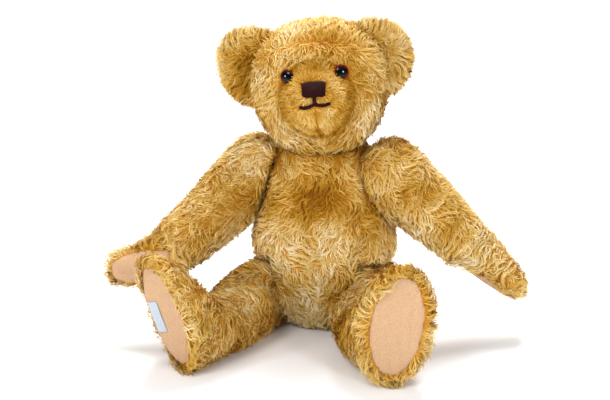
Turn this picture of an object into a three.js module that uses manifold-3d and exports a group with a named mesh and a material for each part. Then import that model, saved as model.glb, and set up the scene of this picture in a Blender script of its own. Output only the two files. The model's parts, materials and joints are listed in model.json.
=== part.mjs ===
// A traditional five-way jointed teddy bear, seated. Millimetres, +Z up, and the bear's body faces -Y.
// Its head and limbs are stuffed separately. Each turns on a pair of hardboard discs and a split pin.
// The fabric skins are drawn at the mean height of their pile.

import * as THREE from 'three';
import { mergeVertices } from 'three/addons/utils/BufferGeometryUtils.js';
import Module from 'manifold-3d';

const wasm = await Module();
wasm.setup();

// ---- Driving dimensions ----

const GAP = 0.3; // clearance between pieces that touch
const JOINT_GAP = 0.4; // from a joint's plane to the skin on either side of it
const SKIN = 6; // backing cloth with its standing pile
const FLAT_SKIN = 2.6; // the same where a disc presses the pile flat
const FELT = 2; // thickness of a pad
const FELT_DEPTH = 2; // a pad's face below the pile around it

const DISC_THICK = 3;
const WASHER = { radius: 8, thick: 1 };
const PIN = { radius: 1.5, reach: 9, eyeRadius: 3, wire: 1.2 };
const PIN_HOLE = 2; // radius of the hole for a pin
const PIN_EYE_ROOM = { radius: 6, end: 19 };
const PIN_LEG_ROOM = { radius: 10, end: -17 };

const EYE = { radius: 7.5, dome: 4.6, rim: 1, stem: 1.6, stemLength: 14, sunk: 1.4 };
const EYE_WASHER = { radius: 7, hole: 1.9, thick: 1.2, depth: 8 };

// The body is an egg that stands on its narrow end: [height, half width, half depth, forward shift].
const TORSO = [
  [0, 27, 30, 4],
  [8, 39, 41, 4],
  [25, 54, 52, 4],
  [45, 63.5, 57, 4],
  [70, 69, 58, 3],
  [92, 68, 56, 2],
  [112, 64, 54, 1],
  [135, 58, 51, 0],
  [155, 52, 46, 0],
  [172, 44, 39, 0],
  [185, 35, 33, 0],
  [200, 23, 23, 0],
];

const TORSO_SQUARE = 0.85;

const HEAD = {
  centre: [-4.5, -3, 245],
  turn: 4, // degrees towards the bear's left
  lift: 8, // degrees that the nose is raised
  lean: 6, // degrees that the crown leans to the bear's right
  skull: [63, 57, 57],
  jaw: 70, // the skull's half height below its middle
  square: 2.35,
  muzzle: { centre: [0, -44, -13], size: [34, 45, 32] },
  blend: 9,
};

const EAR = {
  radius: 41,
  thick: 16,
  cup: 5,
  cupRadius: 75,
  across: { right: 61, left: 51.5 },
  up: { right: 16.5, left: 13.5 },
  back: 6,
  splay: 20,
  tip: 14,
};

// Each joint: its place, the way from the body into the limb, and the radius of its discs.
const SHOULDER_SLOPE = 18;
const SHOULDER_TWIST = 12; // the shoulders are turned a little to the bear's right
const HIP_SLOPE = -4;
const HIP_SEAT = 72; // how far from its joint a thigh is flat
const JOINTS = {
  neck: { at: [-1, -4, 182], axis: direction(252, 83), disc: 18 },
  shoulder_right: { at: [-49, 3, 152], axis: direction(180 - SHOULDER_TWIST, SHOULDER_SLOPE), disc: 17 },
  shoulder_left: { at: [49, -10, 153], axis: direction(-SHOULDER_TWIST, SHOULDER_SLOPE), disc: 17 },
  hip_right: { at: [-26, -7, 34], axis: direction(158, HIP_SLOPE), disc: 18, seat: HIP_SEAT },
  hip_left: { at: [25, -2, 34], axis: direction(13, HIP_SLOPE), disc: 18, seat: HIP_SEAT },
};

// Limbs are lofts: each station has its middle, its half width across the joint's plane (thick) and
// its half width along that plane (wide).
const ARM_RIGHT = {
  stations: [
    { at: [-64, 5, 155.5], thick: 31, wide: 32 },
    { at: [-82, -10, 137], thick: 31, wide: 31 },
    { at: [-105, -32, 114], thick: 29, wide: 29 },
    { at: [-129, -52, 95], thick: 26, wide: 26.5 },
    { at: [-153, -66, 78], thick: 21, wide: 20.5 },
    { at: [-176, -72, 70], thick: 17.5, wide: 18.5 },
    { at: [-189, -74, 69], thick: 14.5, wide: 15.5 },
  ],
  flatStart: [0.93, -0.2, -0.31],
  flatEnd: [0.2, -0.95, 0.2],
  roundStart: 26,
  roundEnd: 12,
};
const ARM_LEFT = {
  stations: [
    { at: [64, -13, 160], thick: 32, wide: 34 },
    { at: [82, -13, 141], thick: 32, wide: 33 },
    { at: [105, -13, 120.5], thick: 29.5, wide: 30.5 },
    { at: [127, -14, 100.5], thick: 26, wide: 27 },
    { at: [149, -16, 82], thick: 22.5, wide: 23.5 },
    { at: [169, -19, 65], thick: 20, wide: 21 },
    { at: [186, -22, 49.5], thick: 15, wide: 17 },
  ],
  flatStart: [-0.93, 0.2, -0.31],
  flatEnd: [-0.75, 0, -0.65],
  roundStart: 26,
  roundEnd: 12,
};
const LEG = {
  offset: 22, // from the joint's plane to the middle of the thigh
  stations: [
    { along: 0, high: 32, thick: 31, wide: 30 },
    { along: 38, high: 32.5, thick: 32, wide: 32.5 },
    { along: 76, high: 31, thick: 34, wide: 31 },
    { along: 110, high: 26, thick: 33, wide: 25.5 },
    { along: 136, high: 31.5, thick: 32.5, wide: 30 },
    { along: 158, high: 49, thick: 33, wide: 47.5 },
    { along: 174, high: 60, thick: 32.5, wide: 59 },
  ],
  roundStart: 27,
  roundEnd: 9,
};
// How each leg lies: its way and its foot's way, in degrees outwards from straight ahead, how far the foot
// rolls outwards, leans forwards and sinks, and how far its calf bends inwards.
const LEG_SWAY = {
  right: { turn: 26.5, foot: 37, roll: 19, lean: 9, sink: 4, bend: 11 },
  left: { turn: 13.5, foot: 11, roll: 8, lean: 0, sink: 0.5, bend: 15 },
};

const FOOT_PAD = { wide: 25.5, high: 50.5, aside: { right: 3.5, left: 0 } }; // half sizes, and its shift outwards
// A paw pad's half sizes, its place along the arm, and how deep its outline is cut.
const PAW_PAD = { wide: 15, long: 36, place: { right: 0.82, left: 0.85 }, depth: 15 };
const LABEL = { wide: 13.5, high: 31, thick: 0.6, aside: 12 }; // a plain woven label on the right foot

const NOSE = { top: 11, foot: 9.8, high: 6.8, arch: 0.9, thick: 2, up: 0.5 };
const MOUTH = { radius: 1.3, top: -7.6, fork: -13, sag: -16.7, end: -14.1, half: 15 };
const EYE_PLACE = { across: 25.6, up: 12, splay: 14, lift: 4 };

// ---- Geometry helpers ----

function radians(degrees) {
  return THREE.MathUtils.degToRad(degrees);
}

function vec(xyz) {
  return new THREE.Vector3(...xyz);
}

// The unit vector at an angle about Z from +X, and raised by a slope.
function direction(about, slope) {
  const flat = Math.cos(radians(slope));
  return [flat * Math.cos(radians(about)), flat * Math.sin(radians(about)), Math.sin(radians(slope))];
}

// A frame whose Y axis is along a joint's axis, with Z as near up (or as near a hint) as it can be.
function frameOf(at, axis, hint = [0, 0, 1]) {
  const y = vec(axis).normalize();
  const x = new THREE.Vector3().crossVectors(y, vec(hint)).normalize();
  const z = new THREE.Vector3().crossVectors(x, y);
  return new THREE.Matrix4().makeBasis(x, y, z).setPosition(...at);
}

function solidOf(geometry, frame = new THREE.Matrix4()) {
  const bare = new THREE.BufferGeometry();
  bare.setAttribute('position', geometry.getAttribute('position').clone());
  if (geometry.index) bare.setIndex(geometry.index.clone());
  bare.applyMatrix4(frame);
  const merged = mergeVertices(bare, 1e-4);
  return new wasm.Manifold(
    new wasm.Mesh({
      numProp: 3,
      vertProperties: new Float32Array(merged.attributes.position.array),
      triVerts: new Uint32Array(merged.index.array),
    }),
  );
}

function geometryOf(solid) {
  const mesh = solid.simplify(0.06).getMesh();
  const geometry = new THREE.BufferGeometry();
  geometry.setAttribute('position', new THREE.BufferAttribute(mesh.vertProperties, 3));
  geometry.setIndex(new THREE.BufferAttribute(mesh.triVerts, 1));
  geometry.computeVertexNormals();
  return geometry;
}

// A box in a frame, from its low to its high corner.
function boxSolid(low, high, frame) {
  const size = high.map((value, i) => value - low[i]);
  const middle = high.map((value, i) => (value + low[i]) / 2);
  const box = new THREE.BoxGeometry(...size).translate(...middle);
  return solidOf(box, frame);
}

// A plain round bar along Y, between two places on it.
function roundSolid(radius, from, to, frame, sides = 16) {
  const bar = new THREE.CylinderGeometry(radius, radius, Math.abs(to - from), sides);
  bar.translate(0, (from + to) / 2, 0);
  return solidOf(bar, frame);
}

// Everything on a joint's limb side (side = 1) or body side (side = -1), past a distance from its plane.
const FAR = 500;
function pastPlane(frame, side, distance) {
  const near = side * distance;
  return side > 0
    ? boxSolid([-FAR, near, -FAR], [FAR, FAR, FAR], frame)
    : boxSolid([-FAR, -FAR, -FAR], [FAR, near, FAR], frame);
}

// A closed surface through rings of points, from one end point to the other.
function loftGeometry(first, rings, last) {
  const sides = rings[0].length;
  const points = [first, ...rings.flat(), last];
  const index = [];
  const at = (ring, side) => 1 + ring * sides + (side % sides);
  for (let side = 0; side < sides; side++) {
    index.push(0, at(0, side + 1), at(0, side));
    index.push(points.length - 1, at(rings.length - 1, side), at(rings.length - 1, side + 1));
    for (let ring = 0; ring + 1 < rings.length; ring++) {
      index.push(at(ring, side), at(ring, side + 1), at(ring + 1, side));
      index.push(at(ring, side + 1), at(ring + 1, side + 1), at(ring + 1, side));
    }
  }
  const geometry = new THREE.BufferGeometry().setFromPoints(points);
  geometry.setIndex(index);
  return facingOut(geometry);
}

// Turns a closed surface's faces round if they enclose a negative volume.
function facingOut(geometry) {
  const place = geometry.getAttribute('position');
  const index = geometry.index.array;
  const [a, b, c] = [new THREE.Vector3(), new THREE.Vector3(), new THREE.Vector3()];
  let volume = 0;
  for (let i = 0; i < index.length; i += 3) {
    a.fromBufferAttribute(place, index[i]);
    b.fromBufferAttribute(place, index[i + 1]);
    c.fromBufferAttribute(place, index[i + 2]);
    volume += a.dot(b.cross(c));
  }
  if (volume < 0) {
    for (let i = 0; i < index.length; i += 3) [index[i], index[i + 1]] = [index[i + 1], index[i]];
  }
  return geometry;
}

// ---- Stuffed shapes ----

// A smooth curve of three numbers through rows, read at u from 0 to 1.
function smoothRows(rows) {
  return new THREE.CatmullRomCurve3(rows.map(vec), false, 'catmullrom', 0.5);
}

// A limb as a closed surface, drawn inset from its true size. Its ends are rounded off.
function limbGeometry(limb, inset, { sides, steps, capSteps }) {
  const middles = smoothRows(limb.stations.map((s) => s.at));
  const halves = smoothRows(limb.stations.map((s) => [s.thick, s.wide, 0]));
  const normals = limb.stations[0].normal && smoothRows(limb.stations.map((s) => s.normal));
  const flats = smoothRows(limb.stations.map((s) => s.flat));
  const ring = (u, grow, shrink) => {
    const along = (normals ? normals.getPoint(u) : middles.getTangent(u)).normalize();
    const thick = flats.getPoint(u).projectOnPlane(along).normalize();
    const wide = new THREE.Vector3().crossVectors(along, thick);
    const middle = middles.getPoint(u).addScaledVector(along, grow);
    const half = halves.getPoint(u);
    return Array.from({ length: sides }, (_, i) => {
      const turn = (2 * Math.PI * i) / sides;
      return middle
        .clone()
        .addScaledVector(thick, Math.cos(turn) * (half.x - inset - shrink))
        .addScaledVector(wide, Math.sin(turn) * (half.y - inset - shrink));
    });
  };
  const rings = [];
  const startRound = limb.roundStart - inset;
  const endRound = Math.max(limb.roundEnd - inset, 1);
  for (let i = 0; i < capSteps; i++) {
    const turn = (Math.PI / 2) * (1 - i / capSteps);
    rings.push(ring(0, -startRound * Math.sin(turn), startRound * (1 - Math.cos(turn))));
  }
  for (let i = 0; i <= steps; i++) rings.push(ring(i / steps, 0, 0));
  for (let i = 1; i <= capSteps; i++) {
    const turn = (Math.PI / 2) * (i / capSteps);
    rings.push(ring(1, endRound * Math.sin(turn), endRound * (1 - Math.cos(turn))));
  }
  const centre = (points) => points.reduce((sum, p) => sum.add(p), new THREE.Vector3()).divideScalar(sides);
  return loftGeometry(centre(rings[0]), rings, centre(rings.at(-1)));
}

// The middle of a limb's flatter face, part of the way along it: its place, and the ways it faces and runs.
function faceOf(limb, u) {
  const middles = smoothRows(limb.stations.map((s) => s.at));
  const along = middles.getTangent(u).normalize();
  const out = smoothRows(limb.stations.map((s) => s.flat)).getPoint(u).projectOnPlane(along).normalize();
  const thick = smoothRows(limb.stations.map((s) => [s.thick, 0, 0])).getPoint(u).x;
  return { at: middles.getPoint(u).addScaledVector(out, thick), out, along };
}

// Gives every station of an arm the way that its flatter side faces.
function armLimb(arm) {
  const last = arm.stations.length - 1;
  const start = vec(arm.flatStart);
  const stations = arm.stations.map((s, i) => ({
    ...s,
    flat: start.clone().lerp(vec(arm.flatEnd), i / last).toArray(),
  }));
  return { ...arm, stations };
}

// Lays the common leg out on its side of the body. The foot turns and rolls outwards on its own.
function legLimb(joint, sway, side) {
  const stations = LEG.stations.map((s, i) => {
    const share = i / (LEG.stations.length - 1);
    const turn = radians(THREE.MathUtils.lerp(sway.turn, sway.foot, share ** 2));
    const lean = Math.tan(radians(sway.lean * share ** 2));
    const ahead = new THREE.Vector3(side * Math.sin(turn), -Math.cos(turn), -lean).normalize();
    const straight = new THREE.Vector3(side * Math.sin(radians(sway.turn)), -Math.cos(radians(sway.turn)), 0);
    const start = vec(joint.at).addScaledVector(vec(joint.axis), LEG.offset);
    const at = start.addScaledVector(straight, s.along).setZ(s.high - sway.sink * share ** 3);
    at.x -= side * sway.bend * Math.sin(Math.PI * share);
    const roll = radians(sway.roll * share ** 2);
    const flat = new THREE.Vector3(side * Math.cos(turn), Math.sin(turn), 0);
    flat.applyAxisAngle(ahead, -side * roll);
    return { at: at.toArray(), thick: s.thick, wide: s.wide, normal: ahead.toArray(), flat: flat.toArray() };
  });
  return { ...LEG, stations };
}

// A sine or cosine made slightly fuller, which squares off an oval.
function squared(wave) {
  return Math.sign(wave) * Math.abs(wave) ** TORSO_SQUARE;
}

function torsoGeometry(inset, sides, steps) {
  const widths = smoothRows(TORSO.map(([height, wide, deep]) => [height, wide, deep]));
  const shifts = smoothRows(TORSO.map(([, , , shift]) => [shift, 0, 0]));
  const rings = [];
  const [low, high] = [TORSO[0][0] + inset, TORSO.at(-1)[0] - inset];
  for (let i = 0; i <= steps; i++) {
    const row = widths.getPoint(i / steps);
    const forward = shifts.getPoint(i / steps).x;
    rings.push(
      Array.from({ length: sides }, (_, k) => {
        const turn = (2 * Math.PI * k) / sides;
        const x = squared(Math.cos(turn)) * (row.y - inset);
        const y = squared(Math.sin(turn)) * (row.z - inset) - forward;
        const z = THREE.MathUtils.clamp(row.x, low + i * 0.01, high - (steps - i) * 0.01);
        return new THREE.Vector3(x, y, z);
      }),
    );
  }
  const end = (ring, height) => new THREE.Vector3(0, 0, height);
  return loftGeometry(end(rings[0], rings[0][0].z), rings, end(rings.at(-1), rings.at(-1)[0].z));
}

// How far the head's surface is from its middle, along a unit vector in the head's own frame.
function headReach(way) {
  const [a, b, crown] = HEAD.skull;
  const c = way.z > 0 ? crown : HEAD.jaw;
  const p = HEAD.square;
  const skull = (Math.abs(way.x / a) ** p + Math.abs(way.y / b) ** p + Math.abs(way.z / c) ** p) ** (-1 / p);
  const size = vec(HEAD.muzzle.size);
  const centre = vec(HEAD.muzzle.centre).divide(size);
  const ray = way.clone().divide(size);
  const along = ray.dot(centre);
  const square = along * along - ray.lengthSq() * (centre.lengthSq() - 1);
  if (square <= 0) return skull;
  const muzzle = (along + Math.sqrt(square)) / ray.lengthSq();
  const share = Math.max(HEAD.blend - Math.abs(skull - muzzle), 0) / HEAD.blend;
  return Math.max(skull, muzzle) + (share * share * HEAD.blend) / 4;
}

// A point of the head's surface along a way from its middle, raised from it, in the head's own frame.
function headPoint(way, raised = 0) {
  const unit = vec(way).normalize();
  return unit.multiplyScalar(headReach(unit) + raised);
}

function headGeometry(inset, sides, steps) {
  const rings = [];
  for (let i = 1; i < steps; i++) {
    const tilt = (Math.PI * i) / steps;
    rings.push(
      Array.from({ length: sides }, (_, k) => {
        const turn = (2 * Math.PI * k) / sides;
        const way = [Math.sin(tilt) * Math.cos(turn), -Math.cos(tilt), Math.sin(tilt) * Math.sin(turn)];
        return headPoint(way, -inset);
      }),
    );
  }
  return loftGeometry(headPoint([0, -1, 0], -inset), rings, headPoint([0, 1, 0], -inset));
}

// ---- Joint hardware ----

function ringGeometry(hole, radius, from, to, sides) {
  const corners = [
    [hole, from],
    [radius, from],
    [radius, to],
    [hole, to],
    [hole, from],
  ];
  return new THREE.LatheGeometry(corners.map(([r, y]) => new THREE.Vector2(r, y)), sides);
}

function circleShape(radius, sides) {
  const shape = new THREE.Shape();
  for (let i = 0; i < sides; i++) {
    const turn = (2 * Math.PI * i) / sides;
    const corner = [radius * Math.cos(turn), radius * Math.sin(turn)];
    if (i) shape.lineTo(...corner);
    else shape.moveTo(...corner);
  }
  return shape;
}

function wireGeometry(points, radius, sides, steps) {
  const extrudePath = new THREE.CatmullRomCurve3(points.map(vec));
  return new THREE.ExtrudeGeometry(circleShape(radius, sides), { steps, extrudePath, curveSegments: 1 });
}

// Where each layer of a joint starts, going out from its plane. A body's layers mirror a limb's.
const LAYER = {
  disc: JOINT_GAP + FLAT_SKIN + GAP,
  washer: JOINT_GAP + FLAT_SKIN + DISC_THICK + 2 * GAP,
};
LAYER.end = LAYER.washer + WASHER.thick + GAP;

// A split pin: an eye in the limb, a round shank, and two legs curled back against the body's washer.
function pinGeometry() {
  const { radius, reach, eyeRadius, wire } = PIN;
  const eye = new THREE.TorusGeometry(eyeRadius, wire, 4, 8).translate(0, reach + eyeRadius + wire, 0);
  let pin = solidOf(eye);
  pin = pin.add(roundSolid(radius, -LAYER.end - 1, reach + wire + 0.6, new THREE.Matrix4(), 8));
  for (const side of [-1, 1]) {
    const curl = [
      [side * 0.3, 1, 0],
      [side * 1.6, -1.2, 0],
      [side * 4.2, -1.6, 0],
      [side * 6.4, -2.8, 0],
      [side * 6.6, -5.2, 0],
      [side * 4.8, -6, 0],
    ].map(([x, y, z]) => [x, y - LAYER.end - wire + 0.8, z]);
    pin = pin.add(solidOf(wireGeometry(curl, wire, 4, 6)));
  }
  return geometryOf(pin);
}

// The room that a joint's hardware takes in the stuffing on one side of it.
function hardwareRoom(joint, frame, side) {
  const end = side > 0 ? PIN_EYE_ROOM : PIN_LEG_ROOM;
  const clear = 2 * GAP;
  let room = roundSolid(joint.disc + clear, 0, side * (LAYER.washer - GAP + clear), frame);
  room = room.add(roundSolid(WASHER.radius + clear, 0, side * (LAYER.end + GAP), frame, 12));
  return room.add(roundSolid(end.radius, 0, end.end, frame, 10));
}

// Where a disc's edge pushes the skin out beyond the stuffing.
function discBulge(joint, frame, side) {
  return roundSolid(joint.disc + 3 * GAP, 0, side * (LAYER.washer + GAP), frame);
}

// ---- Materials ----

const material = (color, roughness, metalness = 0) =>
  new THREE.MeshStandardMaterial({ color, roughness, metalness });
const MATERIALS = {
  mohair: () => material(0xc99a4c, 0.85),
  felt: () => material(0xe8b991, 0.95),
  filling: () => material(0xe9e4d6, 1),
  hardboard: () => material(0x7a5a3a, 0.8),
  steel: () => material(0xb9bcc0, 0.35, 1),
  eye: () => material(0x2a0d08, 0.08),
  nylon: () => material(0xe6e3da, 0.5),
  thread: () => material(0x2b1719, 0.6),
  ribbon: () => material(0xc9d6e6, 0.7),
};

function mesh(name, geometry, look) {
  const made = new THREE.Mesh(geometry, MATERIALS[look]());
  made.name = name;
  return made;
}

// ---- Assembly ----

const FRAMES = Object.fromEntries(Object.entries(JOINTS).map(([name, j]) => [name, frameOf(j.at, j.axis)]));
const LIMB_MESH = { sides: 16, steps: 10, capSteps: 3 };
const INNER_MESH = { sides: 10, steps: 6, capSteps: 2 };

// Cuts a limb flat at its joint: all of it, or only within a radius of the joint's axis.
function cutFlat(solid, jointName, distance, grow) {
  const { seat } = JOINTS[jointName];
  const frame = FRAMES[jointName];
  if (seat) return solid.subtract(roundSolid(seat + grow, -FAR, distance, frame, 32));
  return solid.intersect(pastPlane(frame, 1, distance));
}

// The skin, stuffing and hardware on the limb side of a joint. shape(inset) gives the limb's solid.
function stuffedLimb(name, jointName, shape, cuts = [], fillingCuts = []) {
  const joint = JOINTS[jointName];
  const frame = FRAMES[jointName];
  const group = new THREE.Group();
  const outer = cutFlat(shape(0), jointName, JOINT_GAP, 0);
  const hollow = shape(SKIN).add(discBulge(joint, frame, 1));
  const inner = cutFlat(hollow, jointName, JOINT_GAP + FLAT_SKIN, SKIN);
  let skin = outer.subtract(inner).subtract(roundSolid(PIN_HOLE, 0, 12, frame, 8));
  for (const cut of cuts) skin = skin.subtract(cut);
  let filling = cutFlat(shape(SKIN + GAP + 0.2), jointName, LAYER.disc, SKIN + GAP);
  filling = filling.subtract(hardwareRoom(joint, frame, 1));
  for (const cut of fillingCuts) filling = filling.subtract(cut);
  group.add(mesh(`${name}_skin`, geometryOf(skin), 'mohair'));
  group.add(mesh(`${name}_stuffing`, geometryOf(filling), 'filling'));
  const hardware = new THREE.Group();
  hardware.applyMatrix4(frame);
  hardware.add(...discAndWasher(`${name}_disc`, `${name}_washer`, joint, 1));
  group.add(hardware);
  return group;
}

function discAndWasher(discName, washerName, joint, side) {
  const along = (from, thick) => [side * from, side * (from + thick)].sort((a, b) => a - b);
  const disc = ringGeometry(PIN_HOLE, joint.disc, ...along(LAYER.disc, DISC_THICK), 14);
  const washer = ringGeometry(PIN_HOLE, WASHER.radius, ...along(LAYER.washer, WASHER.thick), 10);
  return [mesh(discName, disc, 'hardboard'), mesh(washerName, washer, 'steel')];
}

// A prism with a flat outline, driven along Z of a frame from one depth to another.
function prismSolid(shape, from, to, frame) {
  const prism = new THREE.ExtrudeGeometry(shape, { depth: to - from, bevelEnabled: false, curveSegments: 8 });
  return solidOf(prism.translate(0, 0, from), frame);
}

// A frame with Z along the way that a face points and X along the way that it runs.
function faceFrame(at, out, along) {
  const x = along.clone().projectOnPlane(out).normalize();
  return new THREE.Matrix4().makeBasis(x, new THREE.Vector3().crossVectors(out, x), out).setPosition(at);
}

// The sole's outline: an oval.
function footPadShape(grow) {
  return new THREE.Shape().absellipse(0, 0, FOOT_PAD.high + grow, FOOT_PAD.wide + grow, 0, 2 * Math.PI);
}

// The palm's outline: straight at the wrist and round at the tip.
function pawPadShape(grow) {
  const [long, wide] = [PAW_PAD.long + grow, PAW_PAD.wide + grow];
  const shape = new THREE.Shape().moveTo(-long, -wide * 0.8);
  shape.quadraticCurveTo(0, -wide * 1.25, long * 0.45, -wide * 0.85);
  shape.quadraticCurveTo(long, -wide * 0.75, long, 0);
  shape.quadraticCurveTo(long, wide * 0.75, long * 0.45, wide * 0.85);
  shape.quadraticCurveTo(0, wide * 1.25, -long, wide * 0.8);
  return shape.closePath();
}

// A felt pad let into a limb, and the hole for it in the limb's skin.
function feltPad(name, shape, outline, depth, frame) {
  const within = prismSolid(outline(0), -depth, FAR / 10, frame);
  const pad = shape(FELT_DEPTH, true).intersect(within).subtract(shape(FELT_DEPTH + FELT, true));
  const hole = prismSolid(outline(GAP), -depth - GAP, FAR / 10, frame);
  return { hole, pad: mesh(name, geometryOf(pad), 'felt') };
}

const root = new THREE.Group();

// Torso
function torsoSolid(inset, planeInset, sides, steps) {
  let solid = solidOf(torsoGeometry(inset, sides, steps));
  for (const name of ['neck', 'shoulder_right', 'shoulder_left']) {
    solid = solid.subtract(pastPlane(FRAMES[name], 1, -JOINT_GAP - planeInset));
  }
  for (const name of ['hip_right', 'hip_left']) solid = solid.subtract(hipRoom(name, planeInset));
  return solid;
}

// The room beside the body that a thigh needs from hanging to slightly raised.
const THIGH_ROOM = 33;
const THIGH_RAISE = 10;
function hipRoom(name, grow) {
  const frame = FRAMES[name];
  const radius = THIGH_ROOM + grow;
  const near = -JOINT_GAP - grow;
  const ahead = name === 'hip_left' ? 1 : -1;
  const raised = frame.clone().multiply(new THREE.Matrix4().makeRotationY(-ahead * radians(THIGH_RAISE)));
  const span = [0, ahead * FAR].sort((a, b) => a - b);
  return roundSolid(radius, near, FAR, frame, 24)
    .add(boxSolid([-FAR, near, -FAR], [FAR, FAR, 0], frame))
    .add(boxSolid([span[0], near, -FAR], [span[1], FAR, radius], raised));
}

const torso = new THREE.Group();
{
  let hollow = torsoSolid(SKIN, FLAT_SKIN, 14, 7);
  for (const [name, joint] of Object.entries(JOINTS)) {
    const bulge = discBulge(joint, FRAMES[name], -1);
    hollow = hollow.add(bulge.subtract(pastPlane(FRAMES[name], 1, -JOINT_GAP - FLAT_SKIN)));
  }
  let skin = torsoSolid(0, 0, 20, 12).subtract(hollow);
  let filling = torsoSolid(SKIN + GAP + 0.2, FLAT_SKIN + GAP, 14, 7);
  for (const [name, joint] of Object.entries(JOINTS)) {
    skin = skin.subtract(roundSolid(PIN_HOLE, 2, -12, FRAMES[name], 8));
    filling = filling.subtract(hardwareRoom(joint, FRAMES[name], -1));
    const hardware = new THREE.Group();
    hardware.applyMatrix4(FRAMES[name]);
    hardware.add(...discAndWasher(`${name}_body_disc`, `${name}_body_washer`, joint, -1));
    hardware.add(mesh(`${name}_pin`, pinGeometry(), 'steel'));
    torso.add(hardware);
  }
  torso.add(mesh('torso_skin', geometryOf(skin), 'mohair'));
  torso.add(mesh('torso_stuffing', geometryOf(filling), 'filling'));
}
root.add(torso);

// Arms
for (const [side, arm] of Object.entries({ right: ARM_RIGHT, left: ARM_LEFT })) {
  const limb = armLimb(arm);
  const shape = (inset, fine) => solidOf(limbGeometry(limb, inset, inset && !fine ? INNER_MESH : LIMB_MESH));
  const palm = faceOf(limb, PAW_PAD.place[side]);
  const frame = faceFrame(palm.at, palm.out, palm.along);
  const { hole, pad } = feltPad(`paw_pad_${side}`, shape, pawPadShape, PAW_PAD.depth, frame);
  root.add(stuffedLimb(`arm_${side}`, `shoulder_${side}`, shape, [hole]).add(pad));
}

// Legs
for (const [side, way] of [
  ['right', -1],
  ['left', 1],
]) {
  const limb = legLimb(JOINTS[`hip_${side}`], LEG_SWAY[side], way);
  const shape = (inset, fine) => solidOf(limbGeometry(limb, inset, inset && !fine ? INNER_MESH : LIMB_MESH));
  const last = limb.stations.at(-1);
  const out = vec(last.normal).normalize();
  const up = new THREE.Vector3().crossVectors(out, vec(last.flat)).multiplyScalar(way);
  const aside = vec(last.flat).multiplyScalar(FOOT_PAD.aside[side]);
  const sole = vec(last.at).addScaledVector(out, limb.roundEnd).add(aside);
  const frame = faceFrame(sole, out, up);
  const { hole, pad } = feltPad(`foot_pad_${side}`, shape, footPadShape, SKIN + GAP, frame);
  const leg = stuffedLimb(`leg_${side}`, `hip_${side}`, shape, [hole]).add(pad);
  if (side === 'right') {
    const label = mesh('foot_label', new THREE.BoxGeometry(LABEL.high, LABEL.wide, LABEL.thick), 'ribbon');
    label.applyMatrix4(frame.clone().multiply(labelPlace()));
    leg.add(label);
  }
  root.add(leg);
}

// The label's place on the sole, lying on the felt towards the outer edge.
function labelPlace() {
  return new THREE.Matrix4().makeTranslation(0, LABEL.aside, LABEL.thick / 2 + GAP - FELT_DEPTH);
}

// Head
const tilts = [-HEAD.lift, -HEAD.lean, HEAD.turn].map(radians);
const headFrame = new THREE.Matrix4()
  .makeRotationFromEuler(new THREE.Euler(...tilts, 'ZYX'))
  .setPosition(...HEAD.centre);
const headShape = (inset) => {
  const inner = inset > 0;
  return solidOf(headGeometry(inset, inner ? 16 : 26, inner ? 11 : 18), headFrame);
};

// The point on the front of the head that is this far across and up, in the head's own frame.
function facePoint(across, up, raised = 0) {
  let ahead = -HEAD.skull[1];
  for (let i = 0; i < 20; i++) {
    const reach = headReach(new THREE.Vector3(across, ahead, up).normalize()) + raised;
    ahead = -Math.sqrt(Math.max(reach * reach - across * across - up * up, 1));
  }
  return new THREE.Vector3(across, ahead, up);
}

function eyeGeometry() {
  const profile = [[0, -EYE.stemLength], [EYE.stem, -EYE.stemLength], [EYE.stem, 0], [EYE.radius, 0]];
  for (let i = 0; i <= 5; i++) {
    const turn = (Math.PI / 2) * (i / 5);
    profile.push([EYE.radius * Math.cos(turn), EYE.rim + EYE.dome * Math.sin(turn)]);
  }
  profile[profile.length - 1][0] = 0;
  return new THREE.LatheGeometry(profile.map(([r, y]) => new THREE.Vector2(r, y)), 16);
}

function eyeFrame(way) {
  const splay = radians(EYE_PLACE.splay);
  const out = [way * Math.sin(splay), -Math.cos(splay), Math.sin(radians(EYE_PLACE.lift))];
  const at = facePoint(way * EYE_PLACE.across, EYE_PLACE.up).addScaledVector(vec(out), -EYE.sunk);
  return frameOf(at.toArray(), out).premultiply(headFrame);
}

function noseGeometry() {
  const { top, foot, high, arch, thick, up } = NOSE;
  const shape = new THREE.Shape().moveTo(-foot, -high);
  shape.lineTo(foot, -high);
  shape.quadraticCurveTo(foot + 1.6, 0, top, high);
  shape.quadraticCurveTo(0, high + 2 * arch, -top, high);
  shape.quadraticCurveTo(-foot - 1.6, 0, -foot, -high);
  const place = [vec([0, 0, up]), vec([0, -1, 0]), vec([1, 0, 0])];
  const prism = prismSolid(shape, 60, 110, faceFrame(...place).premultiply(headFrame));
  return geometryOf(headShape(-thick).intersect(prism).subtract(headShape(-GAP)));
}

function mouthGeometry() {
  const { radius, top, fork, sag, end, half } = MOUTH;
  const raised = radius + GAP + 0.2;
  const stitch = (points, steps) =>
    solidOf(
      wireGeometry(points.map(([x, z]) => facePoint(x, z + NOSE.up, raised).toArray()), radius, 6, steps),
      headFrame,
    );
  const line = [[-half, end], [-0.62 * half, sag], [-0.2 * half, sag + 2], [0, fork]];
  const mirrored = line.map(([x, z]) => [-x, z]).reverse();
  return geometryOf(stitch([[0, top], [0, fork]], 2).add(stitch([...line, ...mirrored.slice(1)], 14)));
}

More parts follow.
